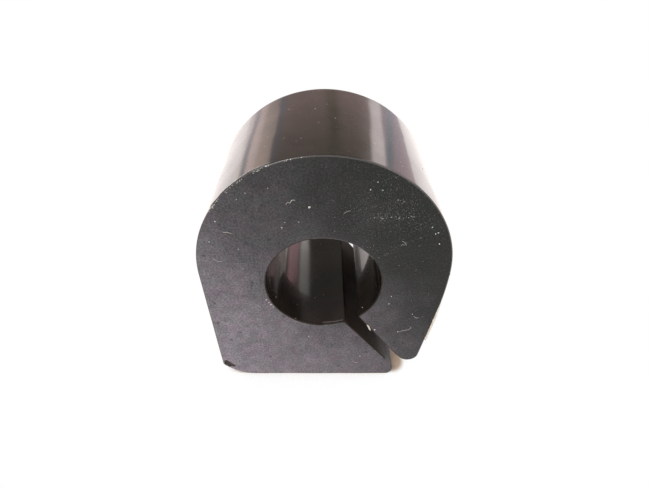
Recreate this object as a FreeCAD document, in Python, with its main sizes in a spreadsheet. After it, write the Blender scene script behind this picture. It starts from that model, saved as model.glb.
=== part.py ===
"""Sway bar bushing: one moulded rubber block, flat below and round on top, with a slit bore.

The frame: the bore's axis is Y, with the origin on it at mid length. X is to the right and Z is up from
the flat seat, as seen from the end face at -Y. Sizes are millimetres and degrees.
"""
import FreeCAD, Part
import os
from math import asin, atan2, cos, degrees, pi, radians, sin, sqrt

import Sketcher
from FreeCAD import Vector

# Driving dimensions: alias, value and what it measures
SIZES = [
    ("bore_diameter", 20.0, "hole for the bar"),
    ("body_length", 27.4, "between the end faces"),
    ("crown_radius", 21.4, "round top that the bracket holds"),
    ("crown_rise", 3.27, "centre of the crown above the bore's axis"),
    ("crown_offset", 0.15, "centre of the crown to the right of the bore's axis"),
    ("seat_drop", 24.57, "flat seat below the bore's axis"),
    ("left_lean", 2.4, "degrees that the left side leans in towards the seat"),
    ("blend_radius", 8.5, "large round from the seat up to the left side"),
    ("blend_overlap", 1.8, "how far that round would run past the left side"),
    ("corner_round", 0.8, "small round where the two meet"),
    ("seat_corner_radius", 1.5, "right end of the seat, at the slit's mouth"),
    ("seat_corner_setback", 1.97, "centre of that corner behind the slit's lower wall"),
    ("seat_lip_radius", 11.6, "lower lip of the slit's mouth"),
    ("slit_angle", 51.6, "degrees that the slit's lower wall slopes down"),
    ("slit_offset", 2.62, "that wall past the bore's axis"),
    ("slit_width", 2.74, "gap between the walls where they meet the bore"),
    ("slit_taper", 2.4, "degrees that the walls close in towards the mouth"),
    ("flap_lip_radius", 11.2, "upper lip of the slit's mouth"),
    ("flap_tip_radius", 2.0, "free end of the flap"),
    ("flap_tip_setback", 2.21, "centre of that end behind the slit's upper wall"),
    ("flap_lean", 9.6, "degrees that the flap's outer side leans in"),
    ("bend_radius", 60.0, "long curve from the crown to the flap's straight side"),
    ("bend_drop", 0.28, "start of that curve below the centre of the crown"),
    ("slit_edge_radius", 0.4, "edges where the slit opens into the bore"),
    ("rim_chamfer", 0.35, "eased edges round both end faces"),
]

START, END, CENTRE = 1, 2, 3
ORIGIN = (-1, 1)


def fill_sheet(doc):
    """Write the driving dimensions into the sheet, one row each."""
    sheet = doc.addObject("Spreadsheet::Sheet", "sizes")
    for row, (alias, value, meaning) in enumerate(SIZES, start=1):
        sheet.set(f"A{row}", alias)
        sheet.set(f"B{row}", str(value))
        sheet.set(f"C{row}", meaning)
        sheet.setAlias(f"B{row}", alias)
    doc.recompute()
    return sheet


def heading(angle):
    """Unit vector at an angle in degrees, counter-clockwise from +X in the section."""
    return Vector(cos(radians(angle)), sin(radians(angle)), 0)


def leg(hypotenuse, other):
    """Second leg of a right triangle."""
    return sqrt(hypotenuse ** 2 - other ** 2)


def meet(first, first_distance, second, second_distance):
    """Point at given distances from the origin along two unit normals."""
    cross = first.x * second.y - first.y * second.x
    return Vector(
        (first_distance * second.y - second_distance * first.y) / cross,
        (second_distance * first.x - first_distance * second.x) / cross,
        0,
    )


def arc(centre, start, end):
    """Arc about a centre, counter-clockwise from one point to another."""
    from_centre, to_end = start - centre, end - centre
    first = atan2(from_centre.y, from_centre.x)
    last = atan2(to_end.y, to_end.x)
    if last <= first:
        last += 2 * pi
    circle = Part.Circle(centre, Vector(0, 0, 1), from_centre.Length)
    return Part.ArcOfCircle(circle, first, last)


def section_points(size):
    """Work out where the lines and arcs of the section meet, from the driving dimensions."""
    point = {}

    # The crown, and the left side tangent to it
    crown = Vector(size.crown_offset, size.crown_rise, 0)
    into_left = heading(size.left_lean)
    down_left = heading(size.left_lean - 90)
    point["crown"] = crown
    point["crown_end"] = crown - into_left * size.crown_radius

    # The large round at the left end of the seat, and the small one where it meets the side
    left_line = point["crown_end"].dot(into_left)
    seat = Vector(0, -size.seat_drop, 0)
    blend = meet(
        into_left, left_line + size.blend_radius - size.blend_overlap,
        Vector(0, 1, 0), seat.y + size.blend_radius,
    )
    inner = size.blend_radius - size.corner_round
    reach = leg(inner, inner - size.blend_overlap)
    corner = blend + down_left * reach - into_left * (inner - size.blend_overlap)
    point["blend"] = blend
    point["blend_end"] = Vector(blend.x, seat.y, 0)
    point["corner"] = corner
    point["corner_start"] = corner - into_left * size.corner_round
    point["corner_end"] = blend + (corner - blend) * (size.blend_radius / inner)

    # The slit's lower wall, its lip and the right end of the seat
    along = heading(-size.slit_angle)
    across = heading(90 - size.slit_angle)
    bore_radius = size.bore_diameter / 2
    point["lower_start"] = along * leg(bore_radius, size.slit_offset) - across * size.slit_offset
    toe = meet(
        across, -size.slit_offset - size.seat_corner_setback,
        Vector(0, 1, 0), seat.y + size.seat_corner_radius,
    )
    inner = size.seat_lip_radius - size.seat_corner_radius
    depth = size.seat_lip_radius - size.seat_corner_setback
    seat_lip = toe - along * leg(inner, depth) - across * depth
    point["toe"] = toe
    point["toe_start"] = Vector(toe.x, seat.y, 0)
    point["toe_end"] = seat_lip + (toe - seat_lip) * (size.seat_lip_radius / inner)
    point["seat_lip"] = seat_lip
    point["lower_end"] = seat_lip + across * size.seat_lip_radius

    # The flap's outer side, which bends in below the crown
    dip = degrees(asin(size.bend_drop / size.crown_radius))
    point["crown_start"] = crown + heading(-dip) * size.crown_radius
    bend = crown - heading(-dip) * (size.bend_radius - size.crown_radius)
    outward = heading(-size.flap_lean)
    point["bend"] = bend
    point["bend_start"] = bend + outward * size.bend_radius

    # The slit's upper wall, its lip and the flap's tip
    rise = size.slit_width - size.slit_offset
    point["upper_start"] = along * leg(bore_radius, rise) + across * rise
    flap_along = heading(-size.slit_angle - size.slit_taper)
    flap_across = heading(90 - size.slit_angle - size.slit_taper)
    wall_line = point["upper_start"].dot(flap_across)
    tip = meet(
        flap_across, wall_line + size.flap_tip_setback,
        outward, point["bend_start"].dot(outward) - size.flap_tip_radius,
    )
    inner = size.flap_lip_radius - size.flap_tip_radius
    depth = size.flap_lip_radius - size.flap_tip_setback
    flap_lip = tip - flap_along * leg(inner, depth) + flap_across * depth
    point["tip"] = tip
    point["tip_start"] = flap_lip + (tip - flap_lip) * (size.flap_lip_radius / inner)
    point["tip_end"] = tip + outward * size.flap_tip_radius
    point["flap_lip"] = flap_lip
    point["upper_end"] = flap_lip - flap_across * size.flap_lip_radius
    return point


def draw_section(sketch, size):
    """Draw the section as one closed outline, counter-clockwise outside and back round the bore."""
    point = section_points(size)
    middle = Vector(0, 0, 0)
    outline = [
        ("crown", arc(point["crown"], point["crown_start"], point["crown_end"])),
        ("left_side", Part.LineSegment(point["crown_end"], point["corner_start"])),
        ("corner", arc(point["corner"], point["corner_start"], point["corner_end"])),
        ("blend", arc(point["blend"], point["corner_end"], point["blend_end"])),
        ("seat", Part.LineSegment(point["blend_end"], point["toe_start"])),
        ("toe", arc(point["toe"], point["toe_start"], point["toe_end"])),
        ("seat_lip", arc(point["seat_lip"], point["toe_end"], point["lower_end"])),
        ("lower_wall", Part.LineSegment(point["lower_end"], point["lower_start"])),
        ("bore", arc(middle, point["upper_start"], point["lower_start"])),
        ("upper_wall", Part.LineSegment(point["upper_start"], point["upper_end"])),
        ("flap_lip", arc(point["flap_lip"], point["upper_end"], point["tip_start"])),
        ("tip", arc(point["tip"], point["tip_start"], point["tip_end"])),
        ("flap_side", Part.LineSegment(point["tip_end"], point["bend_start"])),
        ("bend", arc(point["bend"], point["bend_start"], point["crown_start"])),
    ]
    return {name: sketch.addGeometry(shape, False) for name, shape in outline}


def constrain_section(sketch, geo, size):
    """Join the outline smoothly and bind its sizes to the sheet."""
    smooth_joints = [
        ("crown", END, "left_side", START),
        ("left_side", END, "corner", START),
        ("corner", END, "blend", START),
        ("blend", END, "seat", START),
        ("seat", END, "toe", START),
        ("toe", END, "seat_lip", START),
        ("seat_lip", END, "lower_wall", START),
        ("upper_wall", END, "flap_lip", START),
        ("flap_lip", END, "tip", START),
        ("tip", END, "flap_side", START),
        ("flap_side", END, "bend", START),
        ("bend", END, "crown", START),
    ]
    for first, first_end, second, second_end in smooth_joints:
        sketch.addConstraint(
            Sketcher.Constraint("Tangent", geo[first], first_end, geo[second], second_end)
        )
    sketch.addConstraint(Sketcher.Constraint("Coincident", geo["lower_wall"], END, geo["bore"], END))
    sketch.addConstraint(Sketcher.Constraint("Coincident", geo["bore"], START, geo["upper_wall"], START))
    sketch.addConstraint(Sketcher.Constraint("Coincident", geo["bore"], CENTRE, *ORIGIN))
    sketch.addConstraint(Sketcher.Constraint("Horizontal", geo["seat"]))

    def bind(kind, where, expression, name):
        """Add a dimension and drive it from the sheet; sheet names in it are written bare."""
        words = [f"sizes.{word}" if hasattr(size, word) else word for word in expression.split()]
        value = sum_of(expression, size)
        if kind == "Angle":
            value = radians(value)
        index = sketch.addConstraint(Sketcher.Constraint(kind, *where, value))
        sketch.renameConstraint(index, name)
        sketch.setExpression(f"Constraints.{name}", " ".join(words))

    bind("Radius", (geo["crown"],), "crown_radius", "crown_size")
    bind("DistanceX", (*ORIGIN, geo["crown"], CENTRE), "crown_offset", "crown_across")
    bind("DistanceY", (*ORIGIN, geo["crown"], CENTRE), "crown_rise", "crown_up")
    bind("Angle", (geo["left_side"],), "left_lean - 90", "left_slope")
    bind("Radius", (geo["corner"],), "corner_round", "corner_size")
    bind("Radius", (geo["blend"],), "blend_radius", "blend_size")
    bind("Distance", (geo["blend"], CENTRE, geo["left_side"]), "blend_radius - blend_overlap", "blend_place")
    bind("DistanceY", (geo["seat"], START, *ORIGIN), "seat_drop", "seat_down")
    bind("Radius", (geo["toe"],), "seat_corner_radius", "toe_size")
    bind("Distance", (geo["toe"], CENTRE, geo["lower_wall"]), "seat_corner_setback", "toe_place")
    bind("Radius", (geo["seat_lip"],), "seat_lip_radius", "seat_lip_size")
    bind("Angle", (geo["lower_wall"],), "180 - slit_angle", "lower_slope")
    bind("Distance", (*ORIGIN, geo["lower_wall"]), "slit_offset", "lower_place")
    bind("Diameter", (geo["bore"],), "bore_diameter", "bore_size")
    bind("Distance", (geo["bore"], START, geo["lower_wall"]), "slit_width", "slit_gap")
    bind("Angle", (geo["upper_wall"],), "0 - slit_angle - slit_taper", "upper_slope")
    bind("Radius", (geo["flap_lip"],), "flap_lip_radius", "flap_lip_size")
    bind("Radius", (geo["tip"],), "flap_tip_radius", "tip_size")
    bind("Distance", (geo["tip"], CENTRE, geo["upper_wall"]), "flap_tip_setback", "tip_place")
    bind("Angle", (geo["flap_side"],), "90 - flap_lean", "flap_slope")
    bind("Radius", (geo["bend"],), "bend_radius", "bend_size")
    bind("DistanceY", (geo["crown"], START, geo["crown"], CENTRE), "bend_drop", "bend_place")


def sum_of(expression, size):
    """Value of sheet names and numbers joined by plus and minus signs."""
    total, sign = 0.0, 1
    for word in expression.split():
        if word in "+-":
            sign = 1 if word == "+" else -1
        else:
            total += sign * (getattr(size, word) if hasattr(size, word) else float(word))
    return total


def edge_names(shape, wanted):
    """Names of the edges of a shape that a test picks out."""
    return [f"Edge{number}" for number, edge in enumerate(shape.Edges, start=1) if wanted(edge)]


def ease_edges(body, base, kind, name, wanted, size_name, expression):
    """Fillet or chamfer some edges of a feature by a size from the sheet."""
    feature = body.newObject(kind, name)
    feature.Base = (base, edge_names(base.Shape, wanted))
    feature.setExpression(size_name, expression)
    body.Document.recompute()
    return feature


def make_bushing(doc, size):
    """Mould the block: the section along the bore, then its eased edges."""
    body = doc.addObject("PartDesign::Body", "bushing")
    body.Label = "bushing"
    end_plane = next(item for item in body.Origin.OriginFeatures if item.Role == "XZ_Plane")
    section = body.newObject("Sketcher::SketchObject", "section")
    section.AttachmentSupport = [(end_plane, "")]
    section.MapMode = "FlatFace"
    constrain_section(section, draw_section(section, size), size)

    block = body.newObject("PartDesign::Pad", "block")
    block.Profile = section
    block.SideType = "Symmetric"
    block.setExpression("Length", "sizes.body_length")
    doc.recompute()

    near = 1e-4
    bore_radius = size.bore_diameter / 2
    end_distance = size.body_length / 2

    def on_slit(edge):
        """An edge along the bore's wall, where the slit opens into it."""
        ends = [vertex.Point for vertex in edge.Vertexes]
        lengthwise = abs(ends[0].y - ends[-1].y) > near
        return lengthwise and all(abs(Vector(end.x, 0, end.z).Length - bore_radius) < near for end in ends)

    def on_rim(edge):
        """An edge that lies in one of the end faces."""
        box = edge.BoundBox
        return box.YLength < near and abs(abs(box.Center.y) - end_distance) < near

    rounded = ease_edges(
        body, block, "PartDesign::Fillet", "slit_edges", on_slit, "Radius", "sizes.slit_edge_radius"
    )
    ease_edges(body, rounded, "PartDesign::Chamfer", "end_rims", on_rim, "Size", "sizes.rim_chamfer")
    return body


def check_model(doc, parts):
    """Stop if a feature failed, a sketch is loose or a piece isn't one valid solid."""
    for item in doc.Objects:
        if any(word in item.State for word in ("Invalid", "Error")):
            raise RuntimeError(f"{item.Name} failed: {item.State}")
        if item.TypeId == "Sketcher::SketchObject" and item.solve() != 0:
            raise RuntimeError(f"{item.Name} does not solve")
    for part in parts:
        if part.Shape.isNull() or not part.Shape.isValid() or len(part.Shape.Solids) != 1:
            raise RuntimeError(f"{part.Label} is not one valid solid")


def main():
    """Build the bushing, check it and write its shape."""
    os.makedirs("parts", exist_ok=True)
    doc = FreeCAD.newDocument("sway_bar_bushing")
    sheet = fill_sheet(doc)
    parts = [make_bushing(doc, sheet)]
    check_model(doc, parts)
    for part in parts:
        part.Shape.exportStep(f"parts/{part.Label}.step")
        box = part.Shape.BoundBox
        print(part.Label, "volume", round(part.Shape.Volume, 1), "size",
              round(box.XLength, 2), round(box.YLength, 2), round(box.ZLength, 2))


main()
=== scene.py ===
"""Sway bar bushing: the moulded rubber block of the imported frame, dressed for its picture.

Sizes in the classes are millimetres and degrees in the frame's own axes: the bore runs along Y, X is to the
right and Z is up, seen from the end face at -Y. Meshes are in metres.
"""
import logging
import math
import random
from dataclasses import dataclass, field
from enum import Enum

import bmesh
import bpy
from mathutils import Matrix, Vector, geometry, noise


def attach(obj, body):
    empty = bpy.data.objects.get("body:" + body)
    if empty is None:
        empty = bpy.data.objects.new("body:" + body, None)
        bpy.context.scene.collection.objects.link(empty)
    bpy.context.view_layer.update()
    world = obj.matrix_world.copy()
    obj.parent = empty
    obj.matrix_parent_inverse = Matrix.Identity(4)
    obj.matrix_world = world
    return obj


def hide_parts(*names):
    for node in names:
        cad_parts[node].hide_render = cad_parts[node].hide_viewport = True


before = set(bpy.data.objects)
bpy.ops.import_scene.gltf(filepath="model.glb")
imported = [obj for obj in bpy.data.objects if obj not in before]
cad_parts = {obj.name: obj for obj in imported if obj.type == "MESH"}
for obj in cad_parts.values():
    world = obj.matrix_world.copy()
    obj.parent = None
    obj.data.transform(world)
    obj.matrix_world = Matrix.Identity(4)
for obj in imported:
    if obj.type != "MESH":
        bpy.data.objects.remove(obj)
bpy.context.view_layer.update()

MM = 0.001
ROOT = "root"
NODE = "bushing"
LOG = logging.getLogger("bushing")

Colour = tuple[float, float, float]
Spot = tuple[float, float]
Span = tuple[float, float]
Place = tuple[float, float, float]

FRONT_NORMAL = Vector((0, -1, 0))


# Sums that several classes use

def clamp(value: float) -> float:
    """Keep a share from 0 to 1."""
    return max(0.0, min(1.0, value))


def in_frame(point: Vector, along: float = 0.0) -> Vector:
    """Place in the frame of a point of the section at a place along the bore."""
    return Vector((point.x, along, point.y))


def nearest(outline: list[Vector], spot: Spot) -> int:
    """Number of the outline's point that is nearest to a place."""
    return min(range(len(outline)), key=lambda i: (outline[i] - Vector(spot)).length)


def crossings(outline: list[Vector], level: float) -> list[float]:
    """Find where a level line crosses an outline.

    Args:
        outline: the outline's points.
        level: height of the line.

    Returns:
        The places across.
    """
    found = []
    for index, point in enumerate(outline):
        before = outline[index - 1]
        if (before.y > level) != (point.y > level):
            found.append(before.x + (point.x - before.x) * (level - before.y) / (point.y - before.y))
    return found


def inside(outline: list[Vector], place: Vector) -> bool:
    """Whether a place lies within an outline, by counting the crossings to its right."""
    return sum(crossing > place.x for crossing in crossings(outline, place.y)) % 2 == 1


# Outline of the section

class Turn(Enum):
    """Way an arc runs, seen from the front end face."""

    LEFT = 1
    RIGHT = -1


def heading(angle: float) -> Vector:
    """Unit vector at an angle in degrees, counter-clockwise from +X in the section."""
    return Vector((math.cos(math.radians(angle)), math.sin(math.radians(angle))))


def leg(hypotenuse: float, other: float) -> float:
    """Second leg of a right triangle."""
    return math.sqrt(hypotenuse ** 2 - other ** 2)


def meet(first: Vector, first_distance: float, second: Vector, second_distance: float) -> Vector:
    """Find the point that lies at given distances along two unit normals.

    Args:
        first: the first unit normal.
        first_distance: distance from the origin along it.
        second: the second unit normal.
        second_distance: distance from the origin along it.

    Returns:
        The point in the section.
    """
    cross = first.x * second.y - first.y * second.x
    return Vector((
        (first_distance * second.y - second_distance * first.y) / cross,
        (second_distance * first.x - first_distance * second.x) / cross,
    ))


@dataclass(frozen=True)
class Line:
    """Straight run of the outline."""

    start: Vector
    end: Vector

    def points(self, spacing: float) -> list[Vector]:
        """Sample the run.

        Args:
            spacing: greatest distance between points.

        Returns:
            Points from the start up to, but not with, the end.
        """
        count = max(1, math.ceil((self.end - self.start).length / spacing))
        return [self.start.lerp(self.end, step / count) for step in range(count)]


@dataclass(frozen=True)
class Arc:
    """Round run of the outline."""

    centre: Vector
    start: Vector
    end: Vector
    turn: Turn = Turn.LEFT

    def points(self, spacing: float) -> list[Vector]:
        """Sample the run.

        Args:
            spacing: greatest distance between points along the arc.

        Returns:
            Points from the start up to, but not with, the end.
        """
        out, back = self.start - self.centre, self.end - self.centre
        first = math.atan2(out.y, out.x)
        sweep = (math.atan2(back.y, back.x) - first) % math.tau
        if self.turn is Turn.RIGHT:
            sweep -= math.tau
        radius = out.length
        count = max(3, math.ceil(abs(sweep) * radius / spacing))
        angles = [first + sweep * step / count for step in range(count)]
        return [self.centre + radius * Vector((math.cos(a), math.sin(a))) for a in angles]


@dataclass(frozen=True)
class Section:
    """Section of the bushing across its bore, and its half length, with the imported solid's sizes.

    Rises, drops and offsets are from the bore's axis, and a setback is from the slit's wall to the centre
    of the round at the seat's corner or at the flap's tip. blend_overlap is how far the large round at the
    seat's left would stand out past the left side, and bend_drop is how far below its centre the crown ends
    on the right. The values from bore_band on only tell where one finish gives way to another.
    """

    half_length: float = 13.7
    bore_radius: float = 10.0
    crown_radius: float = 21.4
    crown_rise: float = 3.27
    crown_offset: float = 0.15
    seat_drop: float = 24.57
    left_lean: float = 2.4
    blend_radius: float = 8.5
    blend_overlap: float = 1.8
    corner_round: float = 0.8
    seat_corner_radius: float = 1.5
    seat_corner_setback: float = 1.97
    seat_lip_radius: float = 11.6
    slit_angle: float = 51.6
    slit_offset: float = 2.62
    slit_width: float = 2.74
    slit_taper: float = 2.4
    flap_lip_radius: float = 11.2
    flap_tip_radius: float = 2.0
    flap_tip_setback: float = 2.21
    flap_lean: float = 9.6
    bend_radius: float = 60.0
    bend_drop: float = 0.28
    slit_edge_radius: float = 0.4
    bore_band: float = 0.08
    wall_band: float = 0.1
    seat_band: float = 0.02
    slit_from: float = 6.0
    lip_from: float = 23.0
    above_wall: float = 1.2
    below_wall: float = 1.6
    glossy_rim: Span = (35.0, 100.0)

    def crown_centre(self) -> Vector:
        """Centre of the crown's arc."""
        return Vector((self.crown_offset, self.crown_rise))

    def slit_axes(self) -> tuple[Vector, Vector]:
        """Direction down the slit's lower wall, and the normal out of it."""
        return heading(-self.slit_angle), heading(90 - self.slit_angle)

    def left_runs(self) -> list[Line | Arc]:
        """Draw the crown, the left side and the seat's left end.

        Returns:
            The runs, counter-clockwise, from the crown's right end to the seat.
        """
        crown = self.crown_centre()
        dip = math.degrees(math.asin(self.bend_drop / self.crown_radius))
        crown_start = crown + heading(-dip) * self.crown_radius
        into_left, down_left = heading(self.left_lean), heading(self.left_lean - 90)
        crown_end = crown - into_left * self.crown_radius
        blend = meet(
            into_left, crown_end.dot(into_left) + self.blend_radius - self.blend_overlap,
            Vector((0, 1)), self.blend_radius - self.seat_drop,
        )
        inner = self.blend_radius - self.corner_round
        reach = leg(inner, inner - self.blend_overlap)
        corner = blend + down_left * reach - into_left * (inner - self.blend_overlap)
        corner_start = corner - into_left * self.corner_round
        corner_end = blend + (corner - blend) * (self.blend_radius / inner)
        return [
            Arc(crown, crown_start, crown_end),
            Line(crown_end, corner_start),
            Arc(corner, corner_start, corner_end),
            Arc(blend, corner_end, Vector((blend.x, -self.seat_drop))),
        ]

    def seat_runs(self, start: Vector) -> list[Line | Arc]:
        """Draw the seat and the slit's lower wall.

        Args:
            start: left end of the seat's flat.

        Returns:
            The runs, from the seat's flat to the wall's end before its round into the bore.
        """
        along, across = self.slit_axes()
        toe = meet(
            across, -self.slit_offset - self.seat_corner_setback,
            Vector((0, 1)), self.seat_corner_radius - self.seat_drop,
        )
        inner = self.seat_lip_radius - self.seat_corner_radius
        depth = self.seat_lip_radius - self.seat_corner_setback
        lip = toe - along * leg(inner, depth) - across * depth
        toe_start = Vector((toe.x, -self.seat_drop))
        toe_end = lip + (toe - lip) * (self.seat_lip_radius / inner)
        lower_end = lip + across * self.seat_lip_radius
        edge = self.lower_edge()
        return [
            Line(start, toe_start),
            Arc(toe, toe_start, toe_end),
            Arc(lip, toe_end, lower_end),
            Line(lower_end, edge.start),
            edge,
        ]

    def lower_edge(self) -> Arc:
        """Round off the edge between the slit's lower wall and the bore.

        Returns:
            The round, from the wall to the bore.
        """
        along, across = self.slit_axes()
        grown = self.bore_radius + self.slit_edge_radius
        drop = self.slit_offset + self.slit_edge_radius
        centre = along * leg(grown, drop) - across * drop
        return Arc(centre, centre + across * self.slit_edge_radius, centre * (self.bore_radius / grown))

    def flap_axes(self) -> tuple[Vector, Vector, float]:
        """Place the slit's upper wall.

        Returns:
            The direction along it, the normal into the flap, and its distance from the bore's axis.
        """
        along, across = self.slit_axes()
        rise = self.slit_width - self.slit_offset
        meeting = along * leg(self.bore_radius, rise) + across * rise
        angle = self.slit_angle + self.slit_taper
        return heading(-angle), heading(90 - angle), meeting.dot(heading(90 - angle))

    def upper_edge(self) -> Arc:
        """Round off the edge between the bore and the slit's upper wall.

        Returns:
            The round, from the bore to the wall.
        """
        along, across, wall = self.flap_axes()
        grown = self.bore_radius + self.slit_edge_radius
        rise = wall + self.slit_edge_radius
        centre = along * leg(grown, rise) + across * rise
        return Arc(centre, centre * (self.bore_radius / grown), centre - across * self.slit_edge_radius)

    def flap_runs(self, crown_start: Vector) -> list[Line | Arc]:
        """Draw the slit's upper wall and the flap's tip and outer side.

        Args:
            crown_start: where the crown begins.

        Returns:
            The runs, from the round out of the bore to the crown.
        """
        along, across, wall = self.flap_axes()
        crown = self.crown_centre()
        outward = heading(-self.flap_lean)
        bend = crown - (crown_start - crown).normalized() * (self.bend_radius - self.crown_radius)
        bend_start = bend + outward * self.bend_radius
        tip = meet(
            across, wall + self.flap_tip_setback,
            outward, bend_start.dot(outward) - self.flap_tip_radius,
        )
        inner = self.flap_lip_radius - self.flap_tip_radius
        depth = self.flap_lip_radius - self.flap_tip_setback
        lip = tip - along * leg(inner, depth) + across * depth
        tip_start = lip + (tip - lip) * (self.flap_lip_radius / inner)
        tip_end = tip + outward * self.flap_tip_radius
        upper_end = lip - across * self.flap_lip_radius
        edge = self.upper_edge()
        return [
            edge,
            Line(edge.end, upper_end),
            Arc(lip, upper_end, tip_start),
            Arc(tip, tip_start, tip_end),
            Line(tip_end, bend_start),
            Arc(bend, bend_start, crown_start),
        ]

    def in_slit(self, point: Vector) -> bool:
        """Whether a point of the outline lies on the slit's walls or lips.

        Args:
            point: place in the section.

        Returns:
            True on the walls, the lips and the rounds next to them.
        """
        along, across, wall = self.flap_axes()
        level = point.dot(across)
        low = point.dot(self.slit_axes()[1]) + self.slit_offset
        outside = point.length > self.bore_radius + self.bore_band and point.dot(along) > self.slit_from
        return outside and level < wall + self.above_wall and low > -self.below_wall

    def on_seat_lip(self, point: Vector) -> bool:
        """Whether a point of the outline lies where the slit's lower wall curves out to the seat.

        Args:
            point: place in the section.

        Returns:
            True from the start of the curve to the seat.
        """
        along, across = self.slit_axes()
        past_wall = point.dot(across) + self.slit_offset < self.wall_band
        above_seat = point.y > self.seat_band - self.seat_drop
        return past_wall and point.dot(along) > self.lip_from and above_seat

    def on_bore_rim(self, point: Vector) -> bool:
        """Whether a point of the outline lies on the bore, but not at its upper right.

        Args:
            point: place in the section.

        Returns:
            True where the bore's rim is dull.
        """
        angle = math.degrees(math.atan2(point.y, point.x))
        glossy = self.glossy_rim[0] < angle < self.glossy_rim[1]
        return point.length < self.bore_radius + self.bore_band and not glossy

    def outline(self, spacing: float) -> list[Vector]:
        """Sample the whole outline.

        Args:
            spacing: greatest distance between points.

        Returns:
            Points counter-clockwise round the outside and back round the bore.
        """
        left = self.left_runs()
        seat = self.seat_runs(left[-1].end)
        flap = self.flap_runs(left[0].start)
        bore = Arc(Vector((0, 0)), seat[-1].end, flap[0].start, Turn.RIGHT)
        runs = left + seat + [bore] + flap
        return [point for run in runs for point in run.points(spacing)]


# Flaws of the moulding, by place in the section

@dataclass(frozen=True)
class Flash:
    """Thin ragged rubber left along a stretch of the front rim.

    raggedness runs from 0, even, to 1, torn down to the rim in places. fade_in and fade_out are the numbers
    of points over which the two ends run out.
    """

    start: Spot
    end: Spot
    height: float
    raggedness: float
    wavelength: float
    seed: float
    fine_scale: float = 3.1
    fine_weight: float = 0.35
    fade_in: int = 3
    fade_out: int = 2

    def heights(self, outline: list[Vector]) -> dict[int, float]:
        """Work out how far the rim stands proud.

        Args:
            outline: the section's points.

        Returns:
            Height by index of each point in the stretch.
        """
        first = nearest(outline, self.start)
        last = nearest(outline, self.end)
        count = (last - first) % len(outline)
        found = {}
        for step in range(count + 1):
            index = (first + step) % len(outline)
            point = outline[index]
            place = Vector((point.x, point.y, self.seed)) / self.wavelength
            rough = 0.5 + 0.5 * noise.noise(place) + self.fine_weight * noise.noise(place * self.fine_scale)
            fade = min(1.0, step / self.fade_in, (count - step) / self.fade_out)
            found[index] = self.height * fade * ((1 - self.raggedness) + self.raggedness * max(0.0, rough))
        return found


@dataclass(frozen=True)
class Chip:
    """Flat facet torn from a rim: everything beyond a plane is pressed back to it.

    slack is how far under the plane a face's middle may be and still count as torn.
    """

    centre: Place
    normal: Place
    reach: float
    roughness: float
    lump_scale: float = 2.3
    slack: float = 0.05

    def press(self, point: Vector) -> Vector:
        """Move a point back to the facet where it stands proud of it.

        Args:
            point: place on the body.

        Returns:
            The same place, or the one on the facet.
        """
        centre, normal = Vector(self.centre), Vector(self.normal).normalized()
        if (point - centre).length > self.reach:
            return point
        proud = (point - centre).dot(normal) - self.roughness * noise.noise(point * self.lump_scale)
        return point - normal * proud if proud > 0 else point

    def holds(self, point: Vector) -> bool:
        """Whether a point lies on the facet.

        Args:
            point: place on the body.

        Returns:
            True within the facet's reach and no deeper under its plane than the slack.
        """
        centre, normal = Vector(self.centre), Vector(self.normal).normalized()
        near = (point - centre).length < self.reach
        return near and (point - centre).dot(normal) > -self.slack


# Short calls for shader nodes

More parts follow.
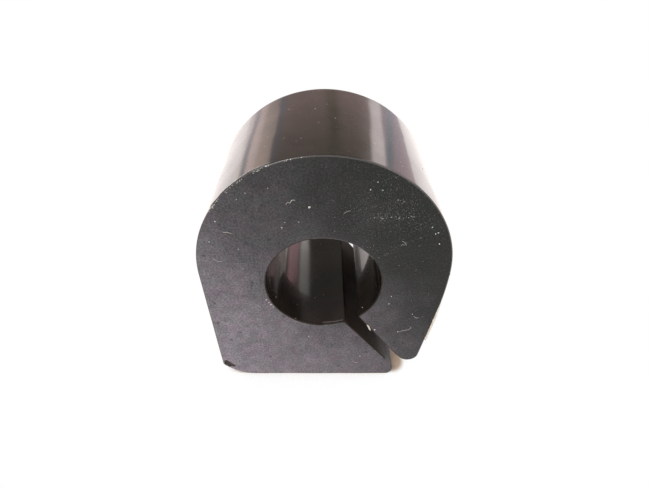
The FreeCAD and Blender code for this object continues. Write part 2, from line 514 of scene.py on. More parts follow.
class Graph:
    """Adds and joins the nodes of one tree.

    The Mix node has sockets for every data type, so those for colours go by number.
    """

    MIX_FACTOR = 0
    MIX_COLOURS = (6, 7)
    MIX_RESULT = 2

    def __init__(self, tree: bpy.types.NodeTree) -> None:
        """Start with an empty tree."""
        self.tree = tree
        tree.nodes.clear()

    def feed(self, target: bpy.types.NodeSocket, value: object) -> None:
        """Join a source socket to an input, or set the input's own value.

        Args:
            target: the input.
            value: number, colour or source socket.
        """
        if isinstance(value, bpy.types.NodeSocket):
            self.tree.links.new(value, target)
        else:
            target.default_value = value

    def add(self, kind: str, inputs: dict[str | int, object] | None = None,
            **settings: object) -> bpy.types.Node:
        """Add one node.

        Args:
            kind: the node's type without its ShaderNode prefix.
            inputs: value or source socket by input name or number.
            settings: properties of the node.

        Returns:
            The node.
        """
        node = self.tree.nodes.new(kind if kind.startswith("NodeGroup") else f"ShaderNode{kind}")
        for name, value in settings.items():
            setattr(node, name, value)
        for key, value in (inputs or {}).items():
            self.feed(node.inputs[key], value)
        return node

    def group(self, tree: bpy.types.NodeTree, values: dict[str, object]) -> bpy.types.Node:
        """Add a node group and fill its inputs."""
        return self.add("Group", values, node_tree=tree)

    def math(self, operation: str, *values: object, clamp: bool = False) -> bpy.types.NodeSocket:
        """Add a Math node.

        Args:
            operation: what it does.
            values: numbers or sockets.
            clamp: keep the result from 0 to 1.

        Returns:
            The result's socket.
        """
        node = self.add("Math", dict(enumerate(values)), operation=operation, use_clamp=clamp)
        return node.outputs[0]

    def spread(self, value: object, low: float, high: float, to_low: float = 0.0,
               to_high: float = 1.0) -> bpy.types.NodeSocket:
        """Map a range smoothly to another.

        Args:
            value: number or socket.
            low: start of its range.
            high: end of its range.
            to_low: result at the start.
            to_high: result at the end.

        Returns:
            The result's socket.
        """
        node = self.add("MapRange", {
            "Value": value, "From Min": low, "From Max": high, "To Min": to_low, "To Max": to_high,
        }, interpolation_type="SMOOTHSTEP")
        return node.outputs["Result"]

    def mix(self, factor: object, first: object, second: object) -> bpy.types.NodeSocket:
        """Mix two colours.

        Args:
            factor: share of the second.
            first: colour or socket.
            second: colour or socket.

        Returns:
            The mixed colour's socket.
        """
        node = self.add("Mix", {self.MIX_FACTOR: factor}, data_type="RGBA")
        for number, value in zip(self.MIX_COLOURS, (first, second)):
            self.feed(node.inputs[number], (*value, 1.0) if isinstance(value, tuple) else value)
        return node.outputs[self.MIX_RESULT]

    def noise(self, place: bpy.types.NodeSocket, scale: object, detail: float = 3.0,
              roughness: float = 0.55) -> bpy.types.NodeSocket:
        """Add a noise texture.

        Args:
            place: coordinates.
            scale: features per metre.
            detail: octaves.
            roughness: weight of the finer octaves.

        Returns:
            The noise's value, about 0.5 on average.
        """
        node = self.add("TexNoise", {
            "Vector": place, "Scale": scale, "Detail": detail, "Roughness": roughness,
        })
        return node.outputs[0]


# Effects that more than one material uses

def new_group(name: str, inputs: dict[str, float],
              outputs: tuple[str, ...]) -> tuple[Graph, dict[str, bpy.types.NodeSocket], bpy.types.Node]:
    """Start a shader node group with named float sockets.

    Args:
        name: the group's name.
        inputs: default value by input name.
        outputs: names of the outputs.

    Returns:
        The group's graph, its input sockets by name and its output node.
    """
    tree = bpy.data.node_groups.new(name, "ShaderNodeTree")
    for label, value in inputs.items():
        socket = tree.interface.new_socket(label, in_out="INPUT", socket_type="NodeSocketFloat")
        socket.default_value = value
    for label in outputs:
        tree.interface.new_socket(label, in_out="OUTPUT", socket_type="NodeSocketFloat")
    graph = Graph(tree)
    entry = graph.add("NodeGroupInput")
    leave = graph.add("NodeGroupOutput")
    return graph, {label: entry.outputs[label] for label in inputs}, leave


@dataclass
class Effects:
    """Node groups that the finishes share: moulded grain, settled dust and slow unevenness.

    dust_warp is how far a noise bends the specks out of shape, in millimetres.
    """

    dust_warp: float = 0.12
    grain: bpy.types.NodeTree = field(init=False)
    dust: bpy.types.NodeTree = field(init=False)
    uneven: bpy.types.NodeTree = field(init=False)

    def __post_init__(self) -> None:
        """Build the groups once."""
        self.grain = self.build_grain()
        self.dust = self.build_dust()
        self.uneven = self.build_uneven()

    def build_grain(self) -> bpy.types.NodeTree:
        """Make the fine grain of a moulded face, with sparse pits.

        Returns:
            The group, which gives a height and a mask of the pits.
        """
        graph, sockets, leave = new_group(
            "rubber_grain", {"Scale": 4000.0, "Pits": 0.3}, ("Height", "Pit Mask"))
        place = graph.add("TexCoord").outputs["Object"]
        fine = graph.noise(place, sockets["Scale"], 4.0, 0.65)
        coarse = graph.noise(place, graph.math("MULTIPLY", sockets["Scale"], 0.28), 2.0, 0.5)
        cell_scale = graph.math("MULTIPLY", sockets["Scale"], 0.16)
        cells = graph.add("TexVoronoi", {"Vector": place, "Scale": cell_scale})
        pit = graph.spread(cells.outputs["Distance"], 0.05, 0.28, 1.0, 0.0)
        chance = graph.add("SeparateColor", {0: cells.outputs["Color"]}).outputs[0]
        few = graph.math("GREATER_THAN", chance, graph.math("SUBTRACT", 1.0, sockets["Pits"]))
        pits = graph.math("MULTIPLY", pit, few)
        height = graph.math("ADD", graph.math("MULTIPLY", fine, 0.6), graph.math("MULTIPLY", coarse, 0.5))
        relief = graph.math("SUBTRACT", height, graph.math("MULTIPLY", pits, 0.6))
        graph.tree.links.new(relief, leave.inputs["Height"])
        graph.tree.links.new(pits, leave.inputs["Pit Mask"])
        return graph.tree

    def build_dust(self) -> bpy.types.NodeTree:
        """Make fine settled dust: small specks of uneven size and strength.

        Returns:
            The group, which gives a mask of the specks.
        """
        graph, sockets, leave = new_group("settled_dust", {"Scale": 2200.0, "Cover": 0.3}, ("Mask",))
        place = graph.add("TexCoord").outputs["Object"]
        warp = graph.add("TexNoise", {"Vector": place, "Scale": sockets["Scale"], "Detail": 1.0})
        shift = graph.add(
            "VectorMath", {0: warp.outputs["Color"], "Scale": self.dust_warp * MM}, operation="SCALE")
        bent = graph.add("VectorMath", {0: place, 1: shift.outputs[0]})
        total = None
        for share, widest in ((1.0, 0.30), (0.52, 0.24)):
            cells = graph.add("TexVoronoi", {
                "Vector": bent.outputs[0], "Scale": graph.math("MULTIPLY", sockets["Scale"], share),
            })
            parts = graph.add("SeparateColor", {0: cells.outputs["Color"]})
            present = graph.math("LESS_THAN", parts.outputs[0], sockets["Cover"])
            size = graph.math("MULTIPLY", parts.outputs[1], widest)
            near = graph.math("SUBTRACT", size, cells.outputs["Distance"])
            speck = graph.math("MULTIPLY", graph.spread(near, -0.02, 0.12), present)
            speck = graph.math("MULTIPLY", speck, graph.math("ADD", parts.outputs[2], 0.25), clamp=True)
            total = speck if total is None else graph.math("MAXIMUM", total, speck)
        graph.tree.links.new(total, leave.inputs["Mask"])
        return graph.tree

    def build_uneven(self) -> bpy.types.NodeTree:
        """Make a slow cloudy change from one value to another.

        Returns:
            The group, which gives the value.
        """
        graph, sockets, leave = new_group(
            "slow_change", {"Scale": 120.0, "Low": 0.0, "High": 1.0}, ("Value",))
        place = graph.add("TexCoord").outputs["Object"]
        cloud = graph.spread(graph.noise(place, sockets["Scale"], 3.0, 0.5), 0.32, 0.68)
        reach = graph.math("SUBTRACT", sockets["High"], sockets["Low"])
        graph.tree.links.new(graph.math("MULTIPLY_ADD", cloud, reach, sockets["Low"]), leave.inputs["Value"])
        return graph.tree


# Finishes

def new_material(name: str) -> tuple[bpy.types.Material, Graph]:
    """Start a node material.

    Args:
        name: the material's name.

    Returns:
        The material and its graph.
    """
    material = bpy.data.materials.new(name)
    material.use_nodes = True
    return material, Graph(material.node_tree)


def close_material(graph: Graph, shader: bpy.types.Node) -> None:
    """Join a shader to the material's output."""
    graph.add("OutputMaterial", {"Surface": shader.outputs[0]})


@dataclass(frozen=True)
class SkinFinish:
    """Glossy skin that the mould leaves round the outside and in the bore, duller in the slit."""

    name: str = "moulded_skin"
    colour: Colour = (0.013, 0.0095, 0.008)
    warm: Colour = (0.024, 0.016, 0.013)
    dust: Colour = (0.42, 0.36, 0.31)
    roughness: float = 0.15
    rubbed: float = 0.34
    coat_roughness: float = 0.07
    coat: float = 1.0
    specular: float = 0.5
    grain_depth: float = 0.04

    def make(self, effects: Effects) -> bpy.types.Material:
        """Build the material.

        Args:
            effects: the shared node groups.

        Returns:
            The material.
        """
        material, graph = new_material(self.name)
        grain = graph.group(effects.grain, {"Scale": 1500.0, "Pits": 0.10})
        film = graph.group(effects.uneven, {"Scale": 260.0, "Low": 0.0, "High": 1.0})
        worn = graph.group(effects.uneven, {
            "Scale": 90.0, "Low": self.roughness, "High": self.rubbed,
        })
        specks = graph.group(effects.dust, {"Scale": 1500.0, "Cover": 0.035})
        base = graph.mix(film.outputs["Value"], self.colour, self.warm)
        base = graph.mix(specks.outputs["Mask"], base, self.dust)
        rough = graph.math("MULTIPLY_ADD", specks.outputs["Mask"], 0.5, worn.outputs["Value"])
        bump = graph.add("Bump", {
            "Strength": 0.25, "Distance": self.grain_depth * MM, "Height": grain.outputs["Height"],
        })
        coat = graph.math("MULTIPLY_ADD", specks.outputs["Mask"], -0.8 * self.coat, self.coat)
        shader = graph.add("BsdfPrincipled", {
            "Base Color": base, "Roughness": rough, "IOR": 1.52, "Specular IOR Level": self.specular,
            "Coat Weight": coat, "Coat Roughness": self.coat_roughness, "Coat IOR": 1.5,
            "Normal": bump.outputs[0],
        })
        close_material(graph, shader)
        return material


@dataclass(frozen=True)
class FaceFinish:
    """Dull end face with fine grain, settled dust and a painted sheen towards one lower corner.

    sheen_across is the direction in the section in which the painted sheen fades, from all of it at
    sheen_from to
    none at sheen_to: a lighter base colour that stands in for the reflection of the bright floor in front.
    dusty_cover is the share of dust at dusty_spot and at dusty_reach from it.
    """

    dark: Colour = (0.0242, 0.0255, 0.0234)
    painted_sheen: Colour = (0.280, 0.244, 0.272)
    dust: Colour = (0.30, 0.29, 0.27)
    cool: Colour = (0.95, 1.015, 0.985)
    warm: Colour = (1.045, 0.985, 1.025)
    sheen_from: float = -30.0
    sheen_to: float = 17.0
    sheen_across: Spot = (0.766, 0.643)
    sheen_power: float = 1.4
    dusty_spot: Spot = (11.0, 15.0)
    dusty_reach: float = 13.0
    dusty_cover: Span = (0.42, 0.06)
    grain_depth: float = 0.09

    def make(self, effects: Effects) -> bpy.types.Material:
        """Build the material.

        Args:
            effects: the shared node groups.

        Returns:
            The material.
        """
        material, graph = new_material("end_face")
        place = graph.add("TexCoord").outputs["Object"]
        axes = graph.add("SeparateXYZ", {0: place})
        # Painted sheen: the base colour grows lighter towards the lower left, standing in for the floor's
        # reflection.
        slope = graph.math(
            "ADD", graph.math("MULTIPLY", axes.outputs[0], self.sheen_across[0] / MM),
            graph.math("MULTIPLY", axes.outputs[2], self.sheen_across[1] / MM),
        )
        cloud = graph.group(effects.uneven, {"Scale": 110.0, "Low": -3.0, "High": 3.0})
        slope = graph.math("ADD", slope, cloud.outputs["Value"])
        share = graph.add("MapRange", {
            "Value": slope, "From Min": self.sheen_from, "From Max": self.sheen_to,
            "To Min": 1.0, "To Max": 0.0,
        }).outputs[0]
        share = graph.math("POWER", share, self.sheen_power)
        mottle = graph.group(effects.uneven, {"Scale": 700.0, "Low": 0.86, "High": 1.14})
        share = graph.math("MULTIPLY", share, mottle.outputs["Value"], clamp=True)
        grain = graph.group(effects.grain, {"Scale": 3600.0, "Pits": 0.35})
        # The painted sheen is mixed into the dark rubber colour here.
        base = graph.mix(share, self.dark, self.painted_sheen)
        fleck = graph.group(effects.uneven, {"Scale": 3000.0, "Low": 0.72, "High": 1.28})
        flecked = graph.add("VectorMath", {0: base, "Scale": fleck.outputs["Value"]}, operation="SCALE")
        hue = graph.group(effects.uneven, {"Scale": 380.0, "Low": 0.0, "High": 1.0})
        tint = graph.mix(hue.outputs["Value"], self.cool, self.warm)
        tinted = graph.add("VectorMath", {0: flecked.outputs[0], 1: tint}, operation="MULTIPLY")
        spot = graph.add("CombineXYZ", {
            0: self.dusty_spot[0] * MM, 1: axes.outputs[1], 2: self.dusty_spot[1] * MM,
        })
        away = graph.add("VectorMath", {0: place, 1: spot.outputs[0]}, operation="DISTANCE").outputs["Value"]
        cover = graph.spread(away, 0.0, self.dusty_reach * MM, *self.dusty_cover)
        specks = graph.group(effects.dust, {"Scale": 2100.0, "Cover": cover})
        dusted = graph.math("MULTIPLY", specks.outputs["Mask"], 0.75)
        base = graph.mix(dusted, tinted.outputs[0], self.dust)
        # Painted shade: the pits are mixed back towards the dark colour, darker than the face round them.
        base = graph.mix(graph.math("MULTIPLY", grain.outputs["Pit Mask"], 0.5), base, self.dark)
        bump = graph.add("Bump", {
            "Strength": 0.55, "Distance": self.grain_depth * MM, "Height": grain.outputs["Height"],
        })
        rough = graph.group(effects.uneven, {"Scale": 240.0, "Low": 0.5, "High": 0.64})
        shader = graph.add("BsdfPrincipled", {
            "Base Color": base, "Roughness": rough.outputs["Value"], "IOR": 1.5, "Specular IOR Level": 0.16,
            "Normal": bump.outputs[0],
        })
        close_material(graph, shader)
        return material


@dataclass(frozen=True)
class LintFinish:
    """Pale dust grains and lint fibres, and the torn flash, whose pale colour is a painted highlight."""

    name: str
    pale: Colour
    dull: Colour
    roughness: float = 0.8
    grain_depth: float = 0.02

    def make(self, effects: Effects) -> bpy.types.Material:
        """Build the material.

        Args:
            effects: the shared node groups.

        Returns:
            The material.
        """
        material, graph = new_material(self.name)
        tone = graph.group(effects.uneven, {"Scale": 900.0, "Low": 0.0, "High": 1.0})
        grain = graph.group(effects.grain, {"Scale": 9000.0, "Pits": 0.2})
        base = graph.mix(tone.outputs["Value"], self.pale, self.dull)
        bump = graph.add("Bump", {
            "Strength": 0.4, "Distance": self.grain_depth * MM, "Height": grain.outputs["Height"],
        })
        shader = graph.add("BsdfPrincipled", {
            "Base Color": base, "Roughness": self.roughness, "Normal": bump.outputs[0],
        })
        close_material(graph, shader)
        return material


# The rubber body

class Surface(Enum):
    """Finish of a face of the body, with the number of its material."""

    SKIN = 0
    END_FACE = 1
    CUT = 2


def object_from(name: str, mesh: bmesh.types.BMesh, materials: list[bpy.types.Material]) -> bpy.types.Object:
    """Turn a built mesh into a smooth object of the scene.

    Args:
        name: the piece's name.
        mesh: the built mesh, in metres; it is freed.
        materials: its finishes, by slot.

    Returns:
        The object.
    """
    data = bpy.data.meshes.new(name)
    mesh.to_mesh(data)
    mesh.free()
    data.shade_smooth()
    for material in materials:
        data.materials.append(material)
    piece = bpy.data.objects.new(name, data)
    bpy.context.scene.collection.objects.link(piece)
    return piece


@dataclass(frozen=True)
class Station:
    """One ring of the body: its place along the bore and how far it is drawn in."""

    along: float
    inset: float


@dataclass
class BushingBody:
    """The moulded block: section, rounded rims, uneven skin and the flaws of its front rim.

    face_waves holds the length and the height of each wave in the end faces, and the ripple's height and
    length are shares of the wave's.
    """

    section: Section
    rim_round: float = 0.2
    rim_steps: int = 6
    near_rim: tuple[float, ...] = (0.45, 0.56, 0.7, 0.95)
    spacing: float = 0.3
    step: float = 0.55
    cap_spacing: float = 0.7
    cap_margin: float = 0.3
    row_lift: float = 0.01
    wave_height: float = 0.035
    wave_length: float = 9.0
    wave_stretch: float = 0.55
    ripple_height: float = 0.22
    ripple_length: float = 0.3
    ripple_stretch: float = 0.7
    face_depth: float = 1.2
    face_sink: float = 0.03
    face_stretch: float = 3.0
    face_waves: tuple[Span, ...] = ((7.0, 0.05), (2.2, 0.012))
    flash_depth: float = 0.45
    flash_fade: float = 0.2
    flashes: tuple[Flash, ...] = (
        Flash((-7.6, 23.1), (-17.2, 15.4), 0.22, 0.7, 1.5, 3.0),
        Flash((4.1, -9.1), (-0.4, -10.0), 0.30, 0.8, 0.8, 5.0),
        Flash((21.3, 2.0), (21.3, 2.8), 0.25, 0.2, 1.0, 2.0),
    )
    chips: tuple[Chip, ...] = (
        Chip((-18.6, -13.7, -21.15), (-0.15, -0.975, -0.15), 1.35, 0.05),
    )
    chip_spacing: float = 0.22
    chip_margin: float = 0.1

    def stations(self) -> list[Station]:
        """List the rings from the front face to the rear one.

        Returns:
            The rings, closer together in the rims.
        """
        rim = []
        for step in range(self.rim_steps + 1):
            angle = math.pi / 2 * step / self.rim_steps
            rim.append((self.rim_round * (1 - math.cos(angle)), self.rim_round * (1 - math.sin(angle))))
        half = self.section.half_length
        front = [Station(depth - half, inset) for depth, inset in rim]
        front += [Station(depth - half, 0.0) for depth in self.near_rim]
        rear = [Station(half - depth, inset) for depth, inset in reversed(rim)]
        first, last = front[-1].along, rear[0].along
        count = math.ceil((last - first) / self.step)
        middle = [Station(first + (last - first) * k / count, 0.0) for k in range(1, count)]
        return front + middle + rear

    def normals(self, outline: list[Vector]) -> list[Vector]:
        """Work out the outward normal at each point of the outline.

        Args:
            outline: the section's points.

        Returns:
            The unit normals, in the same order.
        """
        count = len(outline)
        found = []
        for index in range(count):
            run = outline[(index + 1) % count] - outline[index - 1]
            found.append(Vector((run.y, -run.x)).normalized())
        return found

    def wave(self, point: Vector, outward: Vector) -> float:
        """Height of the skin's slow unevenness at a place.

        Args:
            point: place on the even skin.
            outward: its normal.

        Returns:
            Millimetres outward.
        """
        slow = Vector((point.x, point.y * self.wave_stretch, point.z)) / self.wave_length
        quick = Vector((point.x, point.y * self.ripple_stretch, point.z))
        quick = quick / (self.wave_length * self.ripple_length) + outward
        return self.wave_height * (noise.noise(slow) + self.ripple_height * noise.noise(quick))

    def settle(self, point: Vector, outward: Vector, flash: float) -> Vector:
        """Move a point of the even body to where the real one has it.

        Args:
            point: place on the even body.
            outward: outward normal in the section.
            flash: how far the rim's flash stands proud here.

        Returns:
            The place in millimetres.
        """
        to_end = self.section.half_length - abs(point.y)
        skin = min(1.0, to_end / self.rim_round)
        moved = point + outward * (self.wave(point, outward) * skin + flash)
        face = max(0.0, 1.0 - to_end / self.face_depth)
        sign = math.copysign(1.0, point.y)
        flat = Vector((point.x, point.y * self.face_stretch, point.z))
        swell = sum(noise.noise(flat / length) * height for length, height in self.face_waves)
        moved.y += sign * (swell - self.face_sink) * face
        for chip in self.chips:
            moved = chip.press(moved)
        return moved

    def cap_faces(self, mesh: bmesh.types.BMesh, ring: list[bmesh.types.BMVert], edge: list[Vector],
                  along: float) -> None:
        """Close one end with a flat net of small triangles.

        Args:
            mesh: mesh to add to.
            ring: the body's vertices round the end.
            edge: the same points in the section.
            along: place of the end along the bore.
        """
        count = len(edge)
        loop = [(index, (index + 1) % count) for index in range(count)]
        places, _, triangles, sources, _, _ = geometry.delaunay_2d_cdt(
            edge + self.cap_points(edge), loop, [], 1, 1e-6)
        vertices = []
        for place, origins in zip(places, sources):
            rim = [origin for origin in origins if origin < count]
            if rim:
                vertices.append(ring[rim[0]])
                continue
            settled = self.settle(in_frame(place, along), Vector((0, 0, 0)), 0.0)
            vertices.append(mesh.verts.new(settled * MM))
        for corners in triangles:
            chosen = [vertices[corner] for corner in corners]
            if along > 0:
                chosen.reverse()
            if len(set(chosen)) == 3:
                face = mesh.faces.new(chosen)
                torn = any(chip.holds(face.calc_center_median() / MM) for chip in self.chips)
                finish = Surface.CUT if torn and along < 0 else Surface.END_FACE
                face.material_index = finish.value

    def cap_points(self, edge: list[Vector]) -> list[Vector]:
        """Spread points evenly inside the end face.

        Args:
            edge: the face's outline.

        Returns:
            Points that keep clear of the outline.
        """
        row_height = self.cap_spacing * math.sqrt(3) / 2
        low = Vector((min(p.x for p in edge), min(p.y for p in edge)))
        top = max(p.y for p in edge)
        found = []
        for row in range(int((top - low.y) / row_height) + 1):
            level = low.y + row * row_height + self.row_lift
            shift = row % 2 / 2
            places = sorted(crossings(edge, level))
            for left, right in zip(places[::2], places[1::2]):
                start = math.ceil((left + self.cap_margin - low.x) / self.cap_spacing - shift)
                stop = math.floor((right - self.cap_margin - low.x) / self.cap_spacing - shift)
                for column in range(start, stop + 1):
                    found.append(Vector((low.x + (column + shift) * self.cap_spacing, level)))
        found = [p for p in found if self.is_clear(p, edge, self.cap_margin)]
        for chip in self.chips:
            middle = Vector((chip.centre[0], chip.centre[2]))
            found = [p for p in found if (p - middle).length > chip.reach]
            found += self.chip_points(edge, middle, chip.reach)
        return found

    def chip_points(self, edge: list[Vector], middle: Vector, reach: float) -> list[Vector]:
        """Spread points closely where a chip was torn from the end face.

        Args:
            edge: the face's outline.
            middle: the chip's middle in the section.
            reach: how far it reaches from there.

        Returns:
            Points that keep clear of the outline.
        """
        found = []
        steps = range(-int(reach / self.chip_spacing), int(reach / self.chip_spacing) + 1)
        for across in steps:
            for up in steps:
                place = middle + Vector((across, up)) * self.chip_spacing
                clear = inside(edge, place) and self.is_clear(place, edge, self.chip_margin)
                if clear and (place - middle).length < reach:
                    found.append(place)
        return found

    def is_clear(self, place: Vector, edge: list[Vector], margin: float) -> bool:
        """Whether a place is further from every point of the outline than a margin."""
        return min((place - point).length_squared for point in edge) > margin ** 2

    def side_finish(self, point: Vector, in_rim: bool) -> Surface:
        """Choose the finish of a face along the bore.

        Args:
            point: its place in the section.
            in_rim: whether it belongs to the front rim.

        Returns:
            The finish.
        """
        # The seat's lip takes the end face's finish, whose painted sheen makes it lighter than the slit's
        # walls.
        if self.section.on_seat_lip(point):
            return Surface.END_FACE
        dull = self.section.in_slit(point) or (in_rim and self.section.on_bore_rim(point))
        return Surface.CUT if dull else Surface.SKIN

    def build(self, materials: list[bpy.types.Material]) -> bpy.types.Object:
        """Build the block as one closed mesh.

        Args:
            materials: the finishes, in the order of Surface.

        Returns:
            The object.
        """
        outline = self.section.outline(self.spacing)
        normals = self.normals(outline)
        flash = {}
        for stretch in self.flashes:
            flash.update(stretch.heights(outline))
        mesh = bmesh.new()
        rings = []
        stations = self.stations()
        for station in stations:
            depth = station.along + self.section.half_length
            proud = clamp((self.flash_depth + self.flash_fade - depth) / self.flash_fade)
            ring = []
            for index, (point, normal) in enumerate(zip(outline, normals)):
                outward = in_frame(normal)
                place = in_frame(point, station.along) - outward * station.inset
                settled = self.settle(place, outward, flash.get(index, 0.0) * proud)
                ring.append(mesh.verts.new(settled * MM))
            rings.append(ring)
        count = len(outline)
        for number, (near, far) in enumerate(zip(rings, rings[1:])):
            for index in range(count):
                after = (index + 1) % count
                side = mesh.faces.new((near[index], far[index], far[after], near[after]))
                middle = (outline[index] + outline[after]) / 2
                side.material_index = self.side_finish(middle, number < self.rim_steps).value
        for ring, station in ((rings[0], stations[0]), (rings[-1], stations[-1])):
            edge = [point - normal * station.inset for point, normal in zip(outline, normals)]
            self.cap_faces(mesh, ring, edge, station.along)
        mesh.normal_update()
        return object_from("bushing_body", mesh, materials)


# Dust, lint and torn skin on the rubber

@dataclass(frozen=True)
class Speck:
    """One grain on the front face, by place and size."""

    place: Spot
    size: float


@dataclass(frozen=True)
class BoreGrain:
    """One grain on the bore's wall: its angle, its depth from the front face and its size."""

    angle: float
    depth: float
    size: float


@dataclass(frozen=True)
class Cluster:
    """Grains caught on the crown's front rim about one angle."""

    angle: float
    spread: float
    count: int


@dataclass(frozen=True)
class GrainRow:
    """Fine grains that lie in a row on the front face."""

    start: Spot
    end: Spot
    count: int


class GrainTone(Enum):
    """Finish of a grain, with the number of its material."""

    BRIGHT = 0
    DULL = 1


@dataclass
class DustGrains:
    """Loose grains on the end faces, in the bore and on the crown, as one piece.

    Of the spans, scatter_size, crown_size and rim_inset hold the least value and what a draw may add to it,
    and dense_spread holds the middle and the spread, across and up. The others run from least to greatest.
    """

    section: Section
    seed: int = 7
    scatter: int = 2300
    rear_scatter: int = 160
    crown_scatter: int = 46
    outline_spacing: float = 1.0
    round_from: float = 0.2
    shape_shares: tuple[Span, Span, Span] = ((0.45, 0.75), (0.3, 0.5), (0.2, 0.36))
    lump_height: float = 0.35
    lump_scale: float = 1.7
    dense_share: float = 0.62
    dense_spread: tuple[Span, Span] = ((10.5, 4.6), (15.5, 3.6))
    even_spread: tuple[Span, Span] = ((-21.0, 21.0), (-24.0, 25.0))
    scatter_size: Span = (0.05, 0.08)
    crown_size: Span = (0.07, 0.1)
    crown_angles: Span = (25.0, 155.0)
    crown_length: Span = (-12.3, 12.3)
    sunk_in_bore: float = 0.02
    rim_inset: Span = (0.02, 0.14)
    rim_sunk: float = 0.01
    rim_size: Span = (0.10, 0.20)
    row_size: Span = (0.08, 0.17)
    row_spread: float = 0.16
    rim_clusters: tuple[Cluster, ...] = (
        Cluster(112.3, 0.5, 5), Cluster(116.6, 1.3, 9), Cluster(124.0, 4.0, 9),
        Cluster(132.2, 1.2, 8), Cluster(142.0, 2.4, 18), Cluster(104.0, 5.0, 5),
    )
    rows: tuple[GrainRow, ...] = (
        GrainRow((6.4, 13.9), (14.6, 14.3), 34), GrainRow((3.6, 15.3), (8.4, 16.4), 12),
        GrainRow((13.4, 9.2), (15.8, 10.2), 9), GrainRow((9.8, 6.6), (13.6, 9.4), 16),
    )
    in_bore: tuple[BoreGrain, ...] = (
        BoreGrain(-44.0, 1.5, 0.24), BoreGrain(-100.0, 7.0, 0.13), BoreGrain(-120.0, 4.0, 0.12),
    )
    placed: tuple[Speck, ...] = (
        Speck((-2.1, 16.0), 0.42), Speck((-13.0, 17.4), 0.21), Speck((-11.6, 18.5), 0.20),
        Speck((-8.2, 19.3), 0.18), Speck((-16.8, 13.4), 0.22), Speck((-18.3, 9.4), 0.21),
        Speck((-13.8, 7.9), 0.20), Speck((-6.0, 13.2), 0.17), Speck((-6.6, 12.3), 0.18),
        Speck((-13.5, 3.7), 0.18), Speck((7.0, 19.1), 0.22), Speck((8.8, 19.0), 0.21),
        Speck((8.0, 20.4), 0.18), Speck((17.1, 12.3), 0.21), Speck((18.7, 9.0), 0.21),
        Speck((12.0, -2.7), 0.20), Speck((9.6, -11.3), 0.29), Speck((4.4, -16.8), 0.20),
        Speck((7.2, -19.0), 0.20), Speck((-2.9, -13.2), 0.20), Speck((-5.2, -12.1), 0.17),
        Speck((7.9, 14.1), 0.16), Speck((9.2, 13.9), 0.14), Speck((10.5, 14.2), 0.17),
        Speck((11.7, 14.0), 0.14), Speck((13.2, 14.1), 0.16), Speck((16.2, -7.2), 0.23),
        Speck((-10.15, -3.5), 0.26), Speck((-9.75, -4.2), 0.21), Speck((-9.4, -4.7), 0.26),
        Speck((-9.0, -5.3), 0.23), Speck((-6.5, 12.2), 0.26), Speck((-2.8, -13.3), 0.21),
        Speck((-5.2, -12.2), 0.20), Speck((11.7, -4.5), 0.23), Speck((-3.8, 13.3), 0.18),
        Speck((14.0, -11.9), 0.23), Speck((18.2, 11.2), 0.26), Speck((17.8, 11.0), 0.21),
    )

    def grain(self, mesh: bmesh.types.BMesh, centre: Vector, normal: Vector, size: float,
              rng: random.Random) -> None:
        """Add one lumpy grain that lies flat on the surface.

        Args:
            mesh: mesh to add to.
            centre: place on the surface in millimetres.
            normal: the surface's normal.
            size: width in millimetres.
            rng: seeded source of its shape.
        """
        made = bmesh.ops.create_icosphere(mesh, subdivisions=2 if size > self.round_from else 1, radius=1.0)
        turn = normal.to_track_quat("Z", "X").to_matrix()
        spin = rng.uniform(0, math.tau)
        long, wide, high = [size * rng.uniform(*share) for share in self.shape_shares]
        for vertex in made["verts"]:
            lump = 1 + self.lump_height * noise.noise(vertex.co * self.lump_scale + centre)
            flat = Vector((vertex.co.x * long, vertex.co.y * wide, vertex.co.z * high)) * lump
            flat = Vector((
                flat.x * math.cos(spin) - flat.y * math.sin(spin),
                flat.x * math.sin(spin) + flat.y * math.cos(spin),
                flat.z,
            ))
            vertex.co = (centre + turn @ flat) * MM

    def front_grain(self, mesh: bmesh.types.BMesh, place: Vector, size: float, rng: random.Random,
                    sunk: float = 0.0) -> None:
        """Add one grain to the front face.

        Args:
            mesh: mesh to add to.
            place: its place in the section.
            size: width in millimetres.
            rng: seeded source of its shape.
            sunk: how far its middle is below the face.
        """
        self.grain(mesh, in_frame(place, sunk - self.section.half_length), FRONT_NORMAL, size, rng)

    def add_large(self, mesh: bmesh.types.BMesh, rng: random.Random) -> None:
        """Add the bright grains: those placed one by one, those in the bore and the rim's clusters.

        Args:
            mesh: mesh to add to.
            rng: seeded source of places, sizes and shapes.
        """
        for speck in self.placed:
            self.front_grain(mesh, Vector(speck.place), speck.size, rng)
        for lone in self.in_bore:
            out = in_frame(heading(lone.angle))
            centre = out * (self.section.bore_radius - self.sunk_in_bore)
            centre.y = lone.depth - self.section.half_length
            self.grain(mesh, centre, -out, lone.size, rng)
        crown = self.section.crown_centre()
        least, spread = self.rim_inset
        for cluster in self.rim_clusters:
            for _ in range(cluster.count):
                inset = least + abs(rng.gauss(0, spread))
                out = heading(rng.gauss(cluster.angle, cluster.spread))
                place = crown + out * (self.section.crown_radius - inset)
                self.front_grain(mesh, place, rng.uniform(*self.rim_size), rng, self.rim_sunk)

    def add_rows(self, mesh: bmesh.types.BMesh, rng: random.Random) -> None:
        """Add the rows of fine grains.

        Args:
            mesh: mesh to add to.
            rng: seeded source of places, sizes and shapes.
        """
        for row in self.rows:
            for _ in range(row.count):
                place = Vector(row.start).lerp(Vector(row.end), rng.random())
                place = place + Vector((0, rng.gauss(0, self.row_spread)))
                self.front_grain(mesh, place, rng.uniform(*self.row_size), rng)

